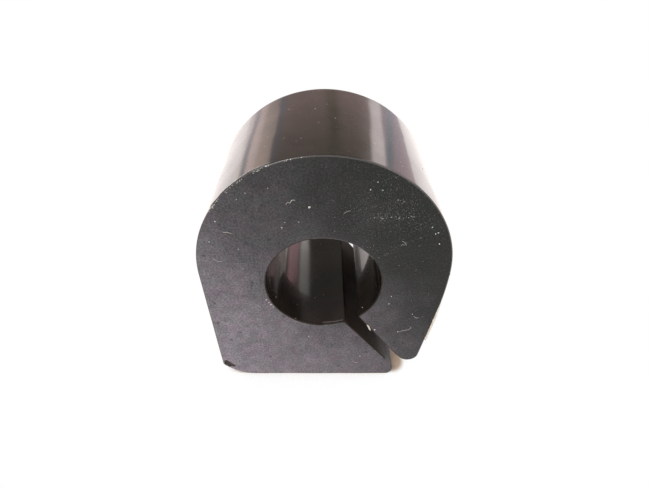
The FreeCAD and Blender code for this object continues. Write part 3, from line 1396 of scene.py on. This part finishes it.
    def scatter_face(self, mesh: bmesh.types.BMesh, along: float, count: int, rng: random.Random) -> None:
        """Scatter grains over one end face, more of them towards the upper right.

        Args:
            mesh: mesh to add to.
            along: place of the face along the bore.
            count: how many grains.
            rng: seeded source of places, sizes and shapes.
        """
        outline = self.section.outline(self.outline_spacing)
        normal = Vector((0, math.copysign(1.0, along), 0))
        least, more = self.scatter_size
        added = 0
        while added < count:
            if rng.random() < self.dense_share:
                place = Vector([rng.gauss(*spread) for spread in self.dense_spread])
            else:
                place = Vector([rng.uniform(*spread) for spread in self.even_spread])
            if not inside(outline, place):
                continue
            size = least + more * rng.random() ** 3
            self.grain(mesh, in_frame(place, along), normal, size, rng)
            added += 1

    def scatter_crown(self, mesh: bmesh.types.BMesh, rng: random.Random) -> None:
        """Scatter a few grains over the crown.

        Args:
            mesh: mesh to add to.
            rng: seeded source of places, sizes and shapes.
        """
        crown = in_frame(self.section.crown_centre())
        least, more = self.crown_size
        for _ in range(self.crown_scatter):
            normal = in_frame(heading(rng.uniform(*self.crown_angles)))
            centre = crown + normal * self.section.crown_radius
            centre.y = rng.uniform(*self.crown_length)
            self.grain(mesh, centre, normal, least + more * rng.random() ** 2, rng)

    def build(self, materials: list[bpy.types.Material]) -> bpy.types.Object:
        """Build all the grains.

        Args:
            materials: the finishes, in the order of GrainTone.

        Returns:
            The object.
        """
        rng = random.Random(self.seed)
        mesh = bmesh.new()
        self.add_large(mesh, rng)
        bright = len(mesh.faces)
        self.add_rows(mesh, rng)
        self.scatter_face(mesh, -self.section.half_length, self.scatter, rng)
        self.scatter_face(mesh, self.section.half_length, self.rear_scatter, rng)
        self.scatter_crown(mesh, rng)
        mesh.faces.ensure_lookup_table()
        for face in mesh.faces[bright:]:
            face.material_index = GrainTone.DULL.value
        return object_from("dust_grains", mesh, materials)


def smooth_route(route: tuple[Spot, ...], steps: int) -> list[Vector]:
    """Run a smooth line through a few places.

    Args:
        route: places in the section.
        steps: points between each two of them.

    Returns:
        Points of the line.
    """
    places = [Vector(place) for place in route]
    ends = [places[0] * 2 - places[1]] + places + [places[-1] * 2 - places[-2]]
    line = []
    for before, first, second, after in zip(ends, ends[1:], ends[2:], ends[3:]):
        for step in range(steps):
            share = step / steps
            pull = (second - before) * share + (before * 2 - first * 5 + second * 4 - after) * share ** 2
            line.append(first + (pull + (first * 3 - before - second * 3 + after) * share ** 3) / 2)
    return line + [places[-1]]


def sweep_tube(mesh: bmesh.types.BMesh, line: list[Vector], radii: list[Span], sides: int) -> None:
    """Sweep a closed tube of changing width and height along a line on the front face.

    Args:
        mesh: mesh to add to.
        line: the tube's middle line in millimetres.
        radii: half width in the face and half height off it, at each point.
        sides: corners round the tube.
    """
    rings = []
    last = len(line) - 1
    for index, centre in enumerate(line):
        ahead = (line[min(index + 1, last)] - line[max(index - 1, 0)]).normalized()
        across = ahead.cross(Vector((0, 1, 0))).normalized()
        wide, high = radii[index]
        ring = []
        for corner in range(sides):
            angle = math.tau * corner / sides
            offset = across * (wide * math.cos(angle)) + ahead.cross(across) * (high * math.sin(angle))
            ring.append(mesh.verts.new((centre + offset) * MM))
        rings.append(ring)
    for near, far in zip(rings, rings[1:]):
        for corner in range(sides):
            after = (corner + 1) % sides
            mesh.faces.new((near[corner], near[after], far[after], far[corner]))
    mesh.faces.new(list(reversed(rings[0])))
    mesh.faces.new(rings[-1])


@dataclass(frozen=True)
class Fibre:
    """One lint fibre on the front face: the places it runs through and its thickness."""

    route: tuple[Spot, ...]
    thickness: float = 0.085


@dataclass
class LintFibres:
    """Curved fibres of lint that lie on the front face, as one piece."""

    section: Section
    steps: int = 6
    sides: int = 6
    lift: float = 0.03
    curl: float = 0.10
    curl_scale: float = 2.5
    curl_shift: float = 3.1
    curl_seed: float = 5.0
    thin_end: float = 0.35
    blunt_end: float = 0.08
    fibres: tuple[Fibre, ...] = (
        Fibre(((-5.65, 16.5), (-5.35, 16.95), (-5.0, 16.8), (-4.7, 17.3), (-4.2, 17.3)), 0.11),
        Fibre(((-15.9, 11.4), (-15.1, 11.3), (-14.2, 11.0))),
        Fibre(((-18.1, 6.0), (-17.5, 5.4), (-16.7, 5.4))),
        Fibre(((14.0, -11.9), (15.1, -11.5), (16.0, -11.2), (16.4, -10.6), (16.0, -10.5)), 0.075),
        Fibre(((16.5, -7.6), (17.0, -8.1), (17.4, -8.0)), 0.11),
        Fibre(((-12.4, -4.6), (-11.8, -4.8), (-11.2, -5.3)), 0.07),
        Fibre(((3.1, 14.9), (3.7, 15.3), (4.2, 15.4)), 0.07),
        Fibre(((12.6, 9.6), (13.1, 9.3), (13.4, 8.7)), 0.07),
        Fibre(((5.7, -20.5), (6.4, -20.9), (7.0, -20.9)), 0.07),
    )

    def build(self, material: bpy.types.Material) -> bpy.types.Object:
        """Build all the fibres.

        Args:
            material: their finish.

        Returns:
            The object.
        """
        mesh = bmesh.new()
        for number, fibre in enumerate(self.fibres):
            places = smooth_route(fibre.route, self.steps)
            line, radii = [], []
            for index, place in enumerate(places):
                share = index / (len(places) - 1)
                waver = Vector((share * self.curl_scale, number * self.curl_shift, self.curl_seed))
                rise = self.lift + self.curl * max(0.0, noise.noise(waver))
                line.append(in_frame(place, -self.section.half_length - rise))
                bulge = math.sin(math.pi * (self.blunt_end + (1 - 2 * self.blunt_end) * share))
                half = fibre.thickness / 2 * (self.thin_end + (1 - self.thin_end) * bulge)
                radii.append((half, half))
            sweep_tube(mesh, line, radii, self.sides)
        return object_from("lint_fibres", mesh, [material])


@dataclass(frozen=True)
class Sliver:
    """Thin skin of rubber along an edge, coloured pale as a painted highlight: the places it runs through,
    its width and its height.

    A blunt one keeps its width up to its last place.
    """

    route: tuple[Spot, ...]
    width: float
    height: float
    blunt: bool = False


@dataclass
class PaleSlivers:
    """Torn flash along the flap's side and the slit's edge, as one piece, coloured pale as a painted
    highlight on these edges.
    """

    section: Section
    steps: int = 9
    sides: int = 8
    lift: float = 0.01
    tip_share: float = 0.15
    tip_growth: float = 4.0
    ragged_from: float = 0.8
    ragged_by: float = 0.5
    ragged_step: float = 0.45
    ragged_shift: float = 5.7
    slivers: tuple[Sliver, ...] = (
        Sliver(((21.00, -4.0), (20.54, -7.6), (20.01, -10.9), (19.46, -14.1)), 0.48, 0.30, True),
        Sliver(((8.1, -9.9), (8.35, -10.4), (8.6, -11.0), (8.85, -11.6)), 0.34, 0.20),
    )

    def build(self, material: bpy.types.Material) -> bpy.types.Object:
        """Build the slivers.

        Args:
            material: their finish.

        Returns:
            The object.
        """
        mesh = bmesh.new()
        for number, sliver in enumerate(self.slivers):
            self.add_sliver(mesh, sliver, number)
        return object_from("pale_slivers", mesh, [material])

    def add_sliver(self, mesh: bmesh.types.BMesh, sliver: Sliver, number: int) -> None:
        """Sweep one sliver with a ragged width.

        Args:
            mesh: mesh to add to.
            sliver: which sliver.
            number: its number, which sets how ragged it is.
        """
        places = smooth_route(sliver.route, self.steps)
        line, radii = [], []
        for index, place in enumerate(places):
            share = index / (len(places) - 1)
            taper = min(1.0, self.tip_share + self.tip_growth * share)
            if not sliver.blunt:
                taper *= min(1.0, self.tip_share + self.tip_growth * (1 - share))
            unevenness = noise.noise(Vector((index * self.ragged_step, number * self.ragged_shift, 1.0)))
            ragged = self.ragged_from + self.ragged_by * unevenness
            line.append(in_frame(place, -self.section.half_length - self.lift))
            radii.append((sliver.width / 2 * taper * ragged, sliver.height / 2 * taper))
        sweep_tube(mesh, line, radii, self.sides)


# The studio round it

@dataclass(frozen=True)
class Panel:
    """One thing in the room that the skin mirrors: a soft-edged band about the backdrop's centre.

    inner and outer are its two sides at the inner and the outer radius, in degrees from straight up. near
    and far are its glow there, strength included. begin and finish are its ends, as shares of the way from
    the inner radius to the outer one, and with a begin above 0 the glow runs between them instead.
    """

    name: str
    inner: Span
    outer: Span
    near: Colour
    far: Colour
    softness: float = 3.0
    begin: float = -9.0
    finish: float = 99.0
    end_softness: float = 0.25

    def share(self, angle: float, away: float) -> float:
        """How much of the panel shows at a place.

        Args:
            angle: degrees from straight up.
            away: 0 at the inner radius and 1 at the outer one.

        Returns:
            From 0 to 1.
        """
        first = self.inner[0] + (self.outer[0] - self.inner[0]) * away
        last = self.inner[1] + (self.outer[1] - self.inner[1]) * away
        rise = (angle - first) / self.softness + 0.5
        fall = (last - angle) / self.softness + 0.5
        ends = min((away - self.begin) / self.end_softness, (self.finish - away) / self.end_softness)
        return clamp(rise) * clamp(fall) * clamp(ends)

    def colour(self, away: float) -> Vector:
        """Mix its glow from near to far, between the two radii or between its own ends.

        Args:
            away: 0 at the inner radius and 1 at the outer one.

        Returns:
            The colour, strength included.
        """
        if self.begin > 0:
            away = (away - self.begin) / (self.finish - self.begin)
        return Vector(self.near).lerp(Vector(self.far), clamp(away))


@dataclass
class Backdrop:
    """Far side of the room, which only the gloss of the skin shows.

    The bands lie further out towards the sides, at flare_at degrees by the share flare. wobble is how far
    their sides waver at most, in degrees. The ceiling fades in over the panels from ceiling_from to
    ceiling_to, as shares of the way from the inner radius to the outer one, and the far panels lie on top
    of it.
    """

    distance: float = 400.0
    centre_height: float = 18.0
    inner_radius: float = 140.0
    outer_radius: float = 212.0
    reach: float = 900.0
    rings: int = 72
    ring_growth: float = 1.6
    flare: float = 0.226
    flare_at: float = 89.0
    wobble: float = 2.2
    wobble_width: float = 14.0
    wobble_rate: float = 1.3
    ceiling: Colour = (0.13, 0.125, 0.11)
    ceiling_from: float = 1.2
    ceiling_to: float = 1.7
    columns: int = 240
    widest: float = 118.0
    panels: tuple[Panel, ...] = (
        Panel("brown wall", (-130, 130), (-130, 130), (0.42, 0.31, 0.29), (0.21, 0.18, 0.15)),
        Panel("shaded middle", (1, 17), (4, 20), (0.30, 0.24, 0.20), (0.18, 0.165, 0.13), 8.0),
        Panel("dark stroke", (8, 14), (8, 15), (0.20, 0.165, 0.13), (0.09, 0.095, 0.068), 5.0, 0.15, 0.85),
        Panel("beige screen", (-130, -54), (-130, -57), (0.56, 0.45, 0.42), (1.12, 0.88, 0.76), 9.0),
        Panel("dark line", (-60, -49), (-57.5, -50.5), (0.30, 0.28, 0.31), (0.15, 0.17, 0.21), 3.0),
        Panel("pale edge of the screen", (-87, -76), (-86, -76), (0.92, 0.72, 0.67), (1.35, 1.08, 1.02), 5.0),
        Panel("grey gap", (-94, -86), (-94, -87), (0.50, 0.46, 0.52), (0.36, 0.38, 0.43), 3.0),
        Panel("pink wall on the left", (-140, -94), (-140, -94), (0.95, 0.82, 0.82), (1.5, 1.34, 1.26), 6.0),
        Panel("lit strip", (60, 78), (50, 66), (1.08, 0.96, 0.96), (1.85, 1.6, 1.55), 4.0),
        Panel("pink wall on the right", (78, 140), (66, 140), (0.56, 0.46, 0.51), (0.68, 0.54, 0.57), 6.0),
        Panel("blue-grey strip", (84, 96), (65.5, 71), (0.52, 0.48, 0.54), (0.26, 0.38, 0.41), 3.5),
    )
    far_panels: tuple[Panel, ...] = (
        Panel("white strip in the bore", (48, 72), (42.5, 66), (1.75, 1.68, 1.58), (0.45, 0.45, 0.42),
              9.0, 1.3, 3.3),
        Panel("pink strip in the bore", (74, 99), (69, 94), (1.5, 0.84, 0.90), (0.75, 0.42, 0.45),
              8.0, 1.3, 2.5),
    )

    def glow(self, angle: float, away: float) -> Vector:
        """Colour of the room at a place on the backdrop.

        Args:
            angle: degrees from straight up.
            away: 0 at the inner radius and 1 at the outer one.

        Returns:
            The colour, strength included.
        """
        wobble = self.wobble * noise.noise(Vector((angle / self.wobble_width, away * self.wobble_rate, 0)))
        found = Vector((0, 0, 0))
        for panel in self.panels:
            share = panel.share(angle + wobble, away)
            found = found.lerp(panel.colour(away), share)
        above = (away - self.ceiling_from) / (self.ceiling_to - self.ceiling_from)
        found = found.lerp(Vector(self.ceiling), clamp(above))
        for panel in self.far_panels:
            found = found.lerp(panel.colour(away), panel.share(angle + wobble, away))
        return found

    def build(self) -> bpy.types.Object:
        """Build the backdrop as a fan with its glow in a colour attribute.

        Returns:
            The staged object, seen by gloss only.
        """
        mesh = bmesh.new()
        layer = mesh.verts.layers.float_color.new("glow")
        grid = []
        for ring in range(self.rings + 1):
            radius = self.reach * (ring / self.rings) ** self.ring_growth
            row = []
            for column in range(self.columns + 1):
                angle = self.widest * (2 * column / self.columns - 1)
                even = radius / (1 + self.flare * (angle / self.flare_at) ** 2)
                away = (even - self.inner_radius) / (self.outer_radius - self.inner_radius)
                turn = math.radians(angle)
                place = (radius * math.sin(turn), self.distance, self.centre_height + radius * math.cos(turn))
                vertex = mesh.verts.new(Vector(place) * MM)
                vertex[layer] = (*self.glow(angle, away), 1.0)
                row.append(vertex)
            grid.append(row)
        for near, far in zip(grid, grid[1:]):
            for column in range(self.columns):
                mesh.faces.new((near[column], near[column + 1], far[column + 1], far[column]))
        material, graph = new_material("room")
        glow = graph.add("VertexColor", layer_name="glow")
        close_material(graph, graph.add("Emission", {"Color": glow.outputs[0], "Strength": 1.0}))
        backdrop = object_from("room_backdrop", mesh, [material])
        only_gloss(backdrop)
        return backdrop


@dataclass(frozen=True)
class GlossShadeBoard:
    """Dim upright sheet close behind the bore that only glossy rays see: painted shade that keeps the bright
    floor out of the bore's left wall.
    """

    left: float = 0.0
    right: float = 17.0
    bottom: float = -24.0
    top: float = -7.6
    along: float = 18.0
    glow: Colour = (0.50, 0.42, 0.38)

    def build(self) -> bpy.types.Object:
        """Build the board.

        Returns:
            The staged object, seen by gloss only.
        """
        mesh = bmesh.new()
        corners = (
            (self.left, self.bottom), (self.right, self.bottom),
            (self.right, self.top), (self.left, self.top),
        )
        mesh.faces.new([mesh.verts.new(in_frame(Vector(corner), self.along) * MM) for corner in corners])
        material, graph = new_material("painted_shade_board")
        # Painted shade: a dim glow that only glossy rays see.
        close_material(graph, graph.add("Emission", {"Color": (*self.glow, 1.0), "Strength": 1.0}))
        board = object_from("painted_shade_board", mesh, [material])
        only_gloss(board)
        return board


def only_gloss(thing: bpy.types.Object) -> None:
    """Stage a thing that only glossy rays see.

    Args:
        thing: the thing.
    """
    thing.visible_camera = False
    thing.visible_diffuse = False
    thing.visible_transmission = False
    thing.visible_volume_scatter = False
    thing.visible_shadow = False


@dataclass(frozen=True)
class Lamp:
    """Soft rectangular lamp aimed at the bushing."""

    name: str
    place: Place
    size: Span
    watts: float
    colour: Colour = (1.0, 1.0, 1.0)

    def build(self) -> bpy.types.Object:
        """Add the lamp to the scene.

        Returns:
            The lamp.
        """
        data = bpy.data.lights.new(self.name, "AREA")
        data.shape = "RECTANGLE"
        data.size, data.size_y = self.size[0] * MM, self.size[1] * MM
        data.energy = self.watts
        data.color = self.colour
        lamp = bpy.data.objects.new(self.name, data)
        lamp.location = Vector(self.place) * MM
        lamp.rotation_euler = (-Vector(self.place)).to_track_quat("-Z", "Y").to_euler()
        bpy.context.scene.collection.objects.link(lamp)
        return lamp


@dataclass
class Studio:
    """Pale floor, white surroundings, soft lamps and the camera of the photograph.

    deep_tone is the floor's colour where its shade is seen: in the slit's mouth, and where little open sky
    is over it, from all of the shade at the share shade_deep to none at shade_open. gloss_level and
    gloss_tone are the strength and colour in which the skin mirrors it. world_level is the strength of the
    world's light on the object.
    """

    section: Section
    floor_half: float = 3000.0
    floor_tone: Colour = (0.85, 0.85, 0.85)
    deep_tone: Colour = (0.66, 0.50, 0.38)
    gloss_level: float = 1.3
    gloss_tone: Colour = (0.97, 0.895, 0.875)
    mouth: Spot = (14.4, -10.4)
    mouth_stretch: float = 0.8
    mouth_deep: float = 1.5
    mouth_open: float = 2.7
    shade_reach: float = 14.0
    shade_deep: float = 0.28
    shade_open: float = 0.52
    world_level: float = 0.75
    camera_place: Place = (0.273, -72.41, 54.13)
    camera_tilt: float = 52.448
    camera_lens: float = 25.477
    lamps: tuple[Lamp, ...] = (
        Lamp("key_softbox", (-260.0, -220.0, 420.0), (300.0, 300.0), 1.1, (1.0, 0.99, 0.98)),
        Lamp("right_fill", (380.0, -120.0, 300.0), (300.0, 240.0), 0.45, (0.98, 0.99, 1.0)),
    )

    def seen_directly(self, graph: Graph) -> bpy.types.NodeSocket:
        """Mark the rays that show the background.

        Args:
            graph: the graph to add to.

        Returns:
            1 for camera, glossy and transmission rays.
        """
        path = graph.add("LightPath")
        first = graph.math("MAXIMUM", path.outputs["Is Camera Ray"], path.outputs["Is Glossy Ray"])
        return graph.math("MAXIMUM", first, path.outputs["Is Transmission Ray"])

    def build_world(self) -> None:
        """Make the surroundings white to the camera and in the gloss, and a plain light elsewhere."""
        world = bpy.data.worlds.new("white_surroundings")
        world.use_nodes = True
        bpy.context.scene.world = world
        graph = Graph(world.node_tree)
        seen = self.seen_directly(graph)
        level = graph.math("MULTIPLY_ADD", seen, 1.0 - self.world_level, self.world_level)
        light = graph.add("Background", {"Color": (1.0, 1.0, 1.0, 1.0), "Strength": level})
        graph.add("OutputWorld", {"Surface": light.outputs[0]})

    def build_floor(self) -> None:
        """Lay the pale floor: it keeps the bushing's shadow, and shows it only where it is deep."""
        mesh = bmesh.new()
        bmesh.ops.create_grid(mesh, x_segments=8, y_segments=8, size=self.floor_half * MM)
        bmesh.ops.translate(mesh, verts=mesh.verts, vec=(0, 0, -self.section.seat_drop * MM))
        material, graph = new_material("pale_floor")
        seen = self.seen_directly(graph)
        shade = graph.add("AmbientOcclusion", {"Distance": self.shade_reach * MM}, samples=12)
        open_share = graph.spread(shade.outputs["AO"], self.shade_deep, self.shade_open)
        bright = graph.math("MULTIPLY", open_share, self.past_mouth(graph))
        lit = graph.add("BsdfDiffuse", {"Color": graph.mix(seen, self.floor_tone, self.deep_tone)})
        path = graph.add("LightPath")
        level = graph.spread(path.outputs["Is Glossy Ray"], 0.0, 1.0, 1.0, self.gloss_level)
        tone = graph.mix(path.outputs["Is Glossy Ray"], (1.0, 1.0, 1.0), self.gloss_tone)
        glow = graph.add("Emission", {"Color": tone, "Strength": level})
        surface = graph.add("MixShader", {
            0: graph.math("MULTIPLY", seen, bright), 1: lit.outputs[0], 2: glow.outputs[0],
        })
        close_material(graph, surface)
        object_from("floor", mesh, [material])

    def past_mouth(self, graph: Graph) -> bpy.types.NodeSocket:
        """Mark the floor away from the slit's mouth.

        Args:
            graph: the floor's graph.

        Returns:
            0 in the deep shade between the seat's lip and the flap, 1 beyond it.
        """
        axes = graph.add("SeparateXYZ", {0: graph.add("TexCoord").outputs["Object"]})
        across = graph.math("SUBTRACT", axes.outputs[0], self.mouth[0] * MM)
        behind = graph.math("SUBTRACT", axes.outputs[1], self.mouth[1] * MM)
        deep = graph.math("MULTIPLY", behind, self.mouth_stretch)
        spot = graph.add("CombineXYZ", {0: across, 1: deep})
        away = graph.add("VectorMath", {0: spot.outputs[0]}, operation="LENGTH").outputs["Value"]
        return graph.spread(away, self.mouth_deep * MM, self.mouth_open * MM)

    def build_camera(self) -> None:
        """Put the camera where the photograph was taken from."""
        data = bpy.data.cameras.new("camera")
        data.sensor_fit = "HORIZONTAL"
        data.sensor_width = 36.0
        data.lens = self.camera_lens
        data.clip_start = 0.001
        camera = bpy.data.objects.new("camera", data)
        camera.location = Vector(self.camera_place) * MM
        camera.rotation_euler = (math.radians(self.camera_tilt), 0, 0)
        bpy.context.scene.collection.objects.link(camera)
        bpy.context.scene.camera = camera

    def build(self) -> None:
        """Set up everything round the bushing."""
        bpy.context.scene.view_settings.view_transform = "Standard"
        self.build_world()
        self.build_floor()
        Backdrop().build()
        GlossShadeBoard().build()
        for lamp in self.lamps:
            lamp.build()
        self.build_camera()


def dress(piece: bpy.types.Object) -> None:
    """Let a piece ride on the frame and report it.

    Args:
        piece: the piece.
    """
    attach(piece, ROOT)
    LOG.info("%s: %d faces", piece.name, len(piece.data.polygons))


def main() -> None:
    """Build the bushing, its dust and the studio."""
    logging.basicConfig(level=logging.INFO, format="%(message)s")
    effects = Effects()
    section = Section()
    cut = SkinFinish(
        "slit_walls", colour=(0.012, 0.009, 0.006), warm=(0.034, 0.022, 0.015), dust=(0.20, 0.17, 0.14),
        roughness=0.38, rubbed=0.52, coat=0.0, specular=0.17,
    )
    finishes = {Surface.SKIN: SkinFinish(), Surface.END_FACE: FaceFinish(), Surface.CUT: cut}
    body = BushingBody(section).build([finishes[surface].make(effects) for surface in Surface])
    dress(body)
    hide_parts(NODE)
    tones = {
        GrainTone.BRIGHT: LintFinish("bright_grains", (0.72, 0.70, 0.64), (0.46, 0.44, 0.41)),
        GrainTone.DULL: LintFinish("dull_grains", (0.27, 0.27, 0.26), (0.11, 0.11, 0.11)),
    }
    dress(DustGrains(section).build([tones[tone].make(effects) for tone in GrainTone]))
    # The torn flash's pale colour is a painted highlight on these edges.
    pale = LintFinish("flash_painted_highlight", (0.82, 0.76, 0.66), (0.62, 0.54, 0.45), 0.5)
    dress(PaleSlivers(section).build(pale.make(effects)))
    lint = LintFinish("lint", (0.62, 0.58, 0.55), (0.36, 0.33, 0.31))
    dress(LintFibres(section).build(lint.make(effects)))
    Studio(section).build()


if __name__ == "__main__":
    main()
